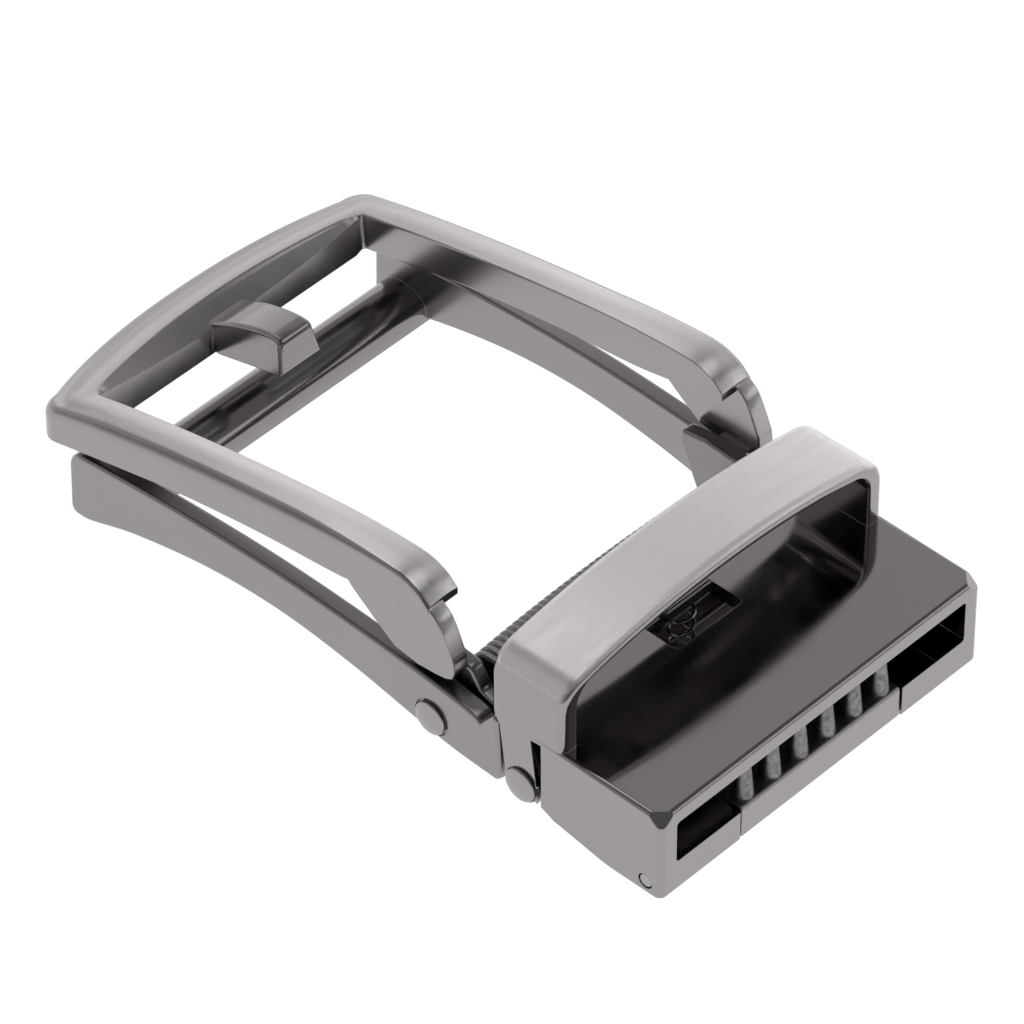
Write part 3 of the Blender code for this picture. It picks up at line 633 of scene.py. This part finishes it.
prong_outline = smooth_curve(((-34.6, 9.7), (-33.4, 10.3), (-31.0, 11.55), (-28.6, 12.4), (-26.6, 12.85),
                              (-25.6, 12.85)), 6)
prong_outline += [(-25.2, 12.6), (-24.55, 9.5), (-28.2, 8.6), (-32.2, 7.5), (-34.6, 7.4)]
prong = extruded(prong_outline, -PRONG_HALF, PRONG_HALF)
for corner in prong.verts:
    corner.co.y *= 1.12 - 0.07 * max(0.0, corner.co.z - 9.5)


def prong_edge(middle, along):
    """True for the edges round the prong's sides and its end, clear of its root in the bar."""
    return middle.z > 9.4 and middle.x > -34.0 and (abs(along.y) < 0.5 or middle.x > -25.3)


soften(prong, prong_edge, 0.42, 5)

face_frame = casting("face_frame_casting", hoop, [*legs_and_ears, prong])
brushed_gunmetal = plated("brushed_gunmetal", (0.315, 0.293, 0.305), 0.2, (0.68, 0.65, 0.652), 0.34, "X", 9.6)
# The end bar's facets that face forward, towards +x, take a lighter copy of the plating: painted light for
# the light that they catch.
facet_painted_light = plated("facet_painted_light", (0.35, 0.33, 0.338), 0.26)
prong_gunmetal = plated("prong_gunmetal", (0.27, 0.252, 0.26), 0.17)
# The ears and web, inside the arms and below z 10, take a darker copy of the plating: painted shade for the
# shadow that they sit in under the arms.
ear_painted_shade = plated("ear_painted_shade", (0.23, 0.215, 0.223), 0.24)
dress(face_frame, brushed_gunmetal, "face_frame", ["face_frame"])
refinish(face_frame, facet_painted_light, lambda middle, normal: middle.x < -32.5 and normal.x > 0.08)
refinish(face_frame, prong_gunmetal,
         lambda middle, normal: -33.6 < middle.x < -24.0 and abs(middle.y) < 2.6 and middle.z > 8.0)
refinish(face_frame, ear_painted_shade,
         lambda middle, normal: middle.x > 4.0 and middle.z < 10.0 and abs(middle.y) < 18.0)


# Head: keeper loop, floor, pivot lugs and strap clamp box, cast in one. The loop's outside is
# brushed across the belt; the box is polished to a mirror. Each lug is parted from the box by a slot.

FRONT_X = 36.0
BOX_REAR = 17.3
FLOOR_Z = 9.3
LUG_RADIUS = 1.8
CORNER_FILLET = 0.7
CORNER_CUT = (1.8, 1.8, 1.5)
LOOP_X = (16.65, 24.9)
LOOP_EDGE = 0.85
LOOP_SHOULDER_Z = (13.3, 13.5)
LOOP_CREST = (17.9, 18.55)
LOOP_CORNER = 3.1
OPENING_EDGE = 0.3
OPENING_SHOULDER_Z = (13.1, 13.5)
OPENING_CREST = (16.7, 17.3)
OPENING_CORNER = 2.3
MOUTH_Z = (3.25, 7.75)
JAW_GAP_HALF = 10.2
NOTCH_HALF = 4.1
SLOT_Y = (21.0, 18.0)
CLAMP_PIVOT = (34.3, 1.3)
HEAD_RIVET_SEAT = (1.72, 0.25)
PIN_SEAT = (0.77, 1.2)
SHELF_HALF = 10.0
SHELF_TOP = 2.4

lug_angles = [math.radians(angle) for angle in range(180, 336, 12)]
lug = [(HEAD_PIVOT[0] + LUG_RADIUS * math.cos(angle), HEAD_PIVOT[1] + LUG_RADIUS * math.sin(angle))
       for angle in lug_angles]
box_side = [(22.9, 1.7), (24.0, 1.2), (26.7, 0.75), (29.2, 0.3), (31.6, 0.0), (FRONT_X, 0.0),
            (FRONT_X, FLOOR_Z), (BOX_REAR, FLOOR_Z), (BOX_REAR, 9.2), (17.85, 8.4)]
box = extruded(lug + box_side, -HALF_WIDTH, HALF_WIDTH)


def at_side(middle):
    """True on the box's two outer faces."""
    return abs(middle.y) > HALF_WIDTH - 0.01


def rim_at(plane):
    """A test for the edges round the box's top or bottom, at its mouth and along its sides."""
    return lambda middle, along: (level_with(middle.z, plane) and abs(along.z) < 0.01
                                  and (middle.x > FRONT_X - 1.3 or at_side(middle)))


soften(box, lambda middle, along: abs(along.z) > 0.9 and at_side(middle) and middle.x > FRONT_X - 0.01,
       CORNER_FILLET, 6)
soften(box, rim_at(FLOOR_Z), 0.5, 5)
soften(box, rim_at(0.0), 0.25, 3)
for side in (-1, 1):
    parts = box.verts[:] + box.edges[:] + box.faces[:]
    cut = bmesh.ops.bisect_plane(box, geom=parts, dist=0.0001, clear_outer=True,
                                 plane_co=(FRONT_X - CORNER_CUT[0], side * HALF_WIDTH, FLOOR_Z),
                                 plane_no=(1 / CORNER_CUT[0], side / CORNER_CUT[1], 1 / CORNER_CUT[2]))
    rim = [part for part in cut["geom_cut"] if isinstance(part, bmesh.types.BMEdge)]
    bmesh.ops.contextual_create(box, geom=rim)


def arch(half, shoulder_z, corner, crest, steps=30):
    """End view of the loop, from one foot of its round corners to the other."""
    turns = [math.radians(180 - 75 * step / 8) for step in range(9)]
    side = [(-half + corner + corner * math.cos(turn), shoulder_z + corner * math.sin(turn))
            for turn in turns]
    start = side[-1]
    crown = [(start[0] * (1 - 2 * s / steps), crest - (crest - start[1]) * (1 - 2 * s / steps) ** 2)
             for s in range(1, steps)]
    return side + crown + [(-y, z) for y, z in reversed(side)]


def loop_section(x, inset, half, shoulders, corner, crests, foot):
    """A slice of the keeper loop or of its opening, shrunk by an inset. The loop rises a little
    from its rear to its front."""
    share = (x - LOOP_X[0]) / (LOOP_X[1] - LOOP_X[0])
    shoulder_z, crest = (rear + (front - rear) * share for rear, front in (shoulders, crests))
    outline = arch(half - inset, shoulder_z, corner - inset, crest - inset)
    reach = -outline[0][0]
    return [(x, y, z) for y, z in [(-reach, foot), *outline, (reach, foot)]]


def eased_ends(low, high, edge, steps):
    """Places from low to high with the insets that round both ends by an edge radius."""
    rear = [(low + edge * (1 - cosine), edge * (1 - sine)) for sine, cosine in quarter(steps)]
    front = [(high - edge * (1 - sine), edge * (1 - cosine)) for sine, cosine in quarter(steps)]
    return rear + front


outside = (HALF_WIDTH, LOOP_SHOULDER_Z, LOOP_CORNER, LOOP_CREST, FLOOR_Z - 0.05)
inside = (INNER_HALF, OPENING_SHOULDER_Z, OPENING_CORNER, OPENING_CREST, FLOOR_Z)
keeper = skin([loop_section(x, inset, *outside) for x, inset in eased_ends(*LOOP_X, LOOP_EDGE, 6)],
              (True, True))
flared = [(LOOP_X[0] - 1.0, OPENING_EDGE), *eased_ends(*LOOP_X, OPENING_EDGE, 4),
          (LOOP_X[1] + 1.0, OPENING_EDGE)]
opening = skin([loop_section(x, -flare, *inside) for x, flare in flared], (True, True))

mouth_outline = round_corners([(-INNER_HALF, MOUTH_Z[0]), (INNER_HALF, MOUTH_Z[0]),
                               (INNER_HALF, MOUTH_Z[1]), (-INNER_HALF, MOUTH_Z[1])],
                              (0.35, 0.35, 0.35, 0.35), 4)
mouth = extruded(mouth_outline, 25.7, 38.0, "X")
notch_outline = round_corners([(15.0, -NOTCH_HALF), (23.3, -NOTCH_HALF), (23.3, NOTCH_HALF),
                               (15.0, NOTCH_HALF)], (0.0, 0.5, 0.5, 0.0), 5)
notch = extruded(notch_outline, 6.0, 11.0, "Z")
under_floor = brick((15.0, -INNER_HALF, -1.0), (24.2, INNER_HALF, 7.8))
jaw_gap = brick((27.7, -JAW_GAP_HALF, -1.0), (38.0, JAW_GAP_HALF, 3.35))
rear_outline = [(16.0, 8.0), (BOX_REAR, 8.0), (BOX_REAR, FLOOR_Z), (16.6, 10.6), (16.0, 10.6)]
rear_cut = extruded(rear_outline, -21.0, 21.0)
cuts = [opening, mouth, notch, under_floor, jaw_gap, rear_cut]
slot_outline = [(22.1, -0.5), (22.1, 2.75), (21.3, 8.8), (22.5, 8.87), (22.55, -0.5)]
for side in (-1, 1):
    cuts.append(extruded(slot_outline, *one_side(side, SLOT_Y)))
    cuts.append(round_cutter(HEAD_PIVOT, side * HALF_WIDTH, *HEAD_RIVET_SEAT))
    cuts.append(round_cutter(CLAMP_PIVOT, side * HALF_WIDTH, *PIN_SEAT))


def bmesh_of(item):
    """Take a finished casting back into a bmesh in millimetres, to fuse more on to it."""
    shape = bmesh.new()
    shape.from_mesh(item.data)
    bmesh.ops.scale(shape, vec=(1 / MM, 1 / MM, 1 / MM), verts=shape.verts)
    bmesh.ops.translate(shape, vec=(-CENTRE_SHIFT, 0.0, 0.0), verts=shape.verts)
    bpy.data.objects.remove(item, do_unlink=True)
    return shape


shelf_outline = round_corners([(16.45, 1.2), (24.6, 1.2), (24.6, SHELF_TOP), (17.45, SHELF_TOP),
                               (17.45, 4.75), (16.45, 4.75)], (0.3, 0.0, 0.0, 0.3, 0.3, 0.05), 3)
spring_shelf = extruded(shelf_outline, -SHELF_HALF, SHELF_HALF)
hollow_head = casting("head_casting", box, [keeper], cuts)
head = casting("head_casting", bmesh_of(hollow_head), [spring_shelf])
head_gunmetal = plated("head_gunmetal", (0.315, 0.293, 0.305), 0.08, (0.80, 0.765, 0.762), 0.42, "Y", 13.5)
dress(head, head_gunmetal, "head", ["head"])


# Clamp lever and pin: a toothed zinc jaw that closes the mouth flush with the box, turning on a
# plain steel pin pushed through both side walls. Six blunt cones bite the strap.

JAW_HALF = 9.95
TOOTH_COUNT = 6
TOOTH_PITCH = 3.4
TOOTH_X = 34.65
TOOTH_Z = (2.3, 7.2)
TOOTH_RADII = (1.15, 0.6)
PIN_RADIUS = 0.7
PIN_CHAMFER = 0.1

lip_outline = round_corners([(28.1, 0.05), (35.95, 0.05), (35.95, 3.45), (32.9, 3.45), (32.9, 2.3),
                             (28.7, 2.3)], (0.2, 0.3, 0.35, 0.3, 0.2, 0.3), 4)
jaw = soften(extruded(lip_outline, -JAW_HALF, JAW_HALF), across_plate, 0.15, 3)
teeth = []
for index in range(TOOTH_COUNT):
    y = (index - (TOOTH_COUNT - 1) / 2) * TOOTH_PITCH
    tooth = bmesh.new()
    bmesh.ops.create_cone(tooth, cap_ends=True, segments=40, radius1=TOOTH_RADII[0], radius2=TOOTH_RADII[1],
                          depth=TOOTH_Z[1] - TOOTH_Z[0])
    bmesh.ops.translate(tooth, vec=(TOOTH_X, y, sum(TOOTH_Z) / 2), verts=tooth.verts)
    teeth.append(soften(tooth, lambda middle, along: middle.z > 7.1 and abs(along.z) < 0.5, 0.25, 4))
clamp_lever = casting("clamp_lever_casting", jaw, teeth)
jaw_gunmetal = plated("jaw_gunmetal", (0.325, 0.302, 0.315), 0.26)
tooth_gunmetal = plated("tooth_gunmetal", (0.21, 0.197, 0.203), 0.38, edge_radius=0.05, bite=0.3,
                        mottle=2200.0)
dress(clamp_lever, jaw_gunmetal, "clamp_lever", ["clamp_lever"])
refinish(clamp_lever, tooth_gunmetal, lambda middle, normal: middle.z > 3.4)


def turned(profile, pivot, steps=64):
    """A round piece on an axis along Y, from (y, radius) points."""
    shape = bmesh.new()
    points = [shape.verts.new((pivot[0] + radius, y, pivot[1])) for y, radius in profile]
    edges = [shape.edges.new(pair) for pair in zip(points, points[1:])]
    bmesh.ops.spin(shape, geom=points + edges, cent=(pivot[0], 0.0, pivot[1]), axis=(0.0, 1.0, 0.0),
                   angle=math.tau, steps=steps, use_merge=True)
    return shape


pin_end = HALF_WIDTH - 0.05
pin_shoulder = pin_end - PIN_CHAMFER
pin_face = PIN_RADIUS - PIN_CHAMFER
pin_profile = [(-pin_end, 0.0), (-pin_end, pin_face), (-pin_shoulder, PIN_RADIUS), (pin_shoulder, PIN_RADIUS),
               (pin_end, pin_face), (pin_end, 0.0)]
clamp_pin = casting("clamp_pin_steel", turned(pin_profile, CLAMP_PIVOT))
pin_steel = plated("pin_steel", (0.36, 0.345, 0.35), 0.25)
dress(clamp_pin, pin_steel, "head", ["clamp_pin"])


# Release lever: a zinc casting plated dark, its thumb bar crowned and ribbed all along for grip.
# It turns on the frame's rivets; its pawl rises through the notch in the head's floor.

BAR_HALF = 15.6
BAR_CREST = 9.9
BAR_CROWN = 0.8
BAR_FRONT = 15.9
HUB_RADIUS = 2.1
RIB_PITCH = 0.78
RIB_DEPTH = 0.14
STEPS_PER_RIB = 8
PAWL_HALF = 2.8
PAWL_UNDERSIDE = 9.85

rib_stations = STEPS_PER_RIB * round(2 * BAR_HALF / RIB_PITCH)
hub = [(FRAME_PIVOT[0] + HUB_RADIUS * math.cos(math.radians(angle)),
        FRAME_PIVOT[1] + HUB_RADIUS * math.sin(math.radians(angle))) for angle in range(160, 300, 14)]
lever_sections = []
for step in range(rib_stations + 1):
    y = -BAR_HALF + 2 * BAR_HALF * step / rib_stations
    crest = BAR_CREST - BAR_CROWN * (y / BAR_HALF) ** 2
    rib = RIB_DEPTH * (abs(math.sin(math.pi * (y + BAR_HALF) / RIB_PITCH)) - 1.0)
    section = hub + [(13.2, 3.4), (BAR_FRONT, 3.9), (BAR_FRONT, crest - 2.4)]
    for x, radius, first in ((14.3, 1.6, 0), (12.1, 1.9, 90)):
        for turn in range(7):
            angle = math.radians(first + 90 * turn / 6)
            reach = radius + rib
            section.append((x + reach * math.cos(angle), crest - radius + reach * math.sin(angle)))
    section.append((10.2, 6.2))
    lever_sections.append([(x, y, z) for x, z in section])
thumb_bar = skin(lever_sections, (True, True))
pawl_outline = round_corners([(12.6, 5.6), (15.9, 6.2), (18.1, 9.2), (18.6, PAWL_UNDERSIDE),
                              (20.9, PAWL_UNDERSIDE), (20.9, 11.2), (16.2, 9.3), (13.4, 9.0)],
                             (0.0, 0.4, 0.2, 0.2, 0.1, 0.25, 0.4, 0.0), 4)
pawl = soften(extruded(pawl_outline, -PAWL_HALF, PAWL_HALF), across_plate, 0.15, 3)
release_lever = casting("release_lever_casting", thumb_bar, [pawl])
dark_gunmetal = plated("dark_gunmetal", (0.2, 0.188, 0.196), 0.24, edge_radius=0.05)
dress(release_lever, dark_gunmetal, "release_lever", ["release_lever"])


# Pawl spring: a small compression coil of bright wire, standing on the head's shelf under the pawl.

SPRING_AXIS = (20.0, 0.0)
SPRING_RADIUS = 1.08
SPRING_PITCH = 1.45
WIRE = 0.18
SPRING_PLAY = 0.3
spring_low = SHELF_TOP + SPRING_PLAY + WIRE
spring_high = PAWL_UNDERSIDE - SPRING_PLAY - WIRE
spring_turns = (spring_high - spring_low) / SPRING_PITCH
coil_steps = round(spring_turns * 36)
coil = []
for step in range(coil_steps + 1):
    angle = math.tau * spring_turns * step / coil_steps
    z = spring_low + (spring_high - spring_low) * step / coil_steps
    loop = []
    for side in range(12):
        around = math.tau * side / 12
        reach = SPRING_RADIUS + WIRE * math.cos(around)
        loop.append((SPRING_AXIS[0] + reach * math.cos(angle), SPRING_AXIS[1] + reach * math.sin(angle),
                     z + WIRE * math.sin(around)))
    coil.append(loop)
lever_spring = casting("pawl_spring", skin(coil, (True, True)))
spring_wire = plated("spring_wire", (0.25, 0.243, 0.24), 0.22, edge_radius=0.02)
dress(lever_spring, spring_wire, "head", ["lever_spring"])
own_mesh(lever_spring)


# Rivets: steel, peened into low domes in shallow seats, two for the face frame and lever and two
# for the head. Each turns in its bores and is plated with the rest.

RIVET_SHANK = 0.9
RIVET_HEAD = 1.65
RIVET_DOME = 0.35
HEAD_UNDERSIDE = 19.8
HEAD_RIM = HALF_WIDTH + 0.2

rivet_steel = plated("rivet_steel", (0.33, 0.31, 0.32), 0.24)
for label, side in (("near", -1), ("far", 1)):
    for kind, pivot, inner_end in (("frame", FRAME_PIVOT, 13.7), ("head", HEAD_PIVOT, 16.3)):
        profile = [(inner_end, 0.0), (inner_end, RIVET_SHANK - 0.1), (inner_end + 0.1, RIVET_SHANK),
                   (HEAD_UNDERSIDE, RIVET_SHANK), (HEAD_UNDERSIDE, 1.55), (19.9, 1.62),
                   (HEAD_RIM - 0.1, RIVET_HEAD)]
        for step in range(11):
            turn = math.radians(8 + 82 * step / 10)
            profile.append((HEAD_RIM + RIVET_DOME * math.sin(turn), RIVET_HEAD * math.cos(turn)))
        shape = turned([(side * y, radius) for y, radius in profile], pivot)
        rivet = casting("%s_rivet_%s_head" % (kind, label), shape)
        dress(rivet, rivet_steel, "back_frame", ["%s_rivet_%s" % (kind, label)])
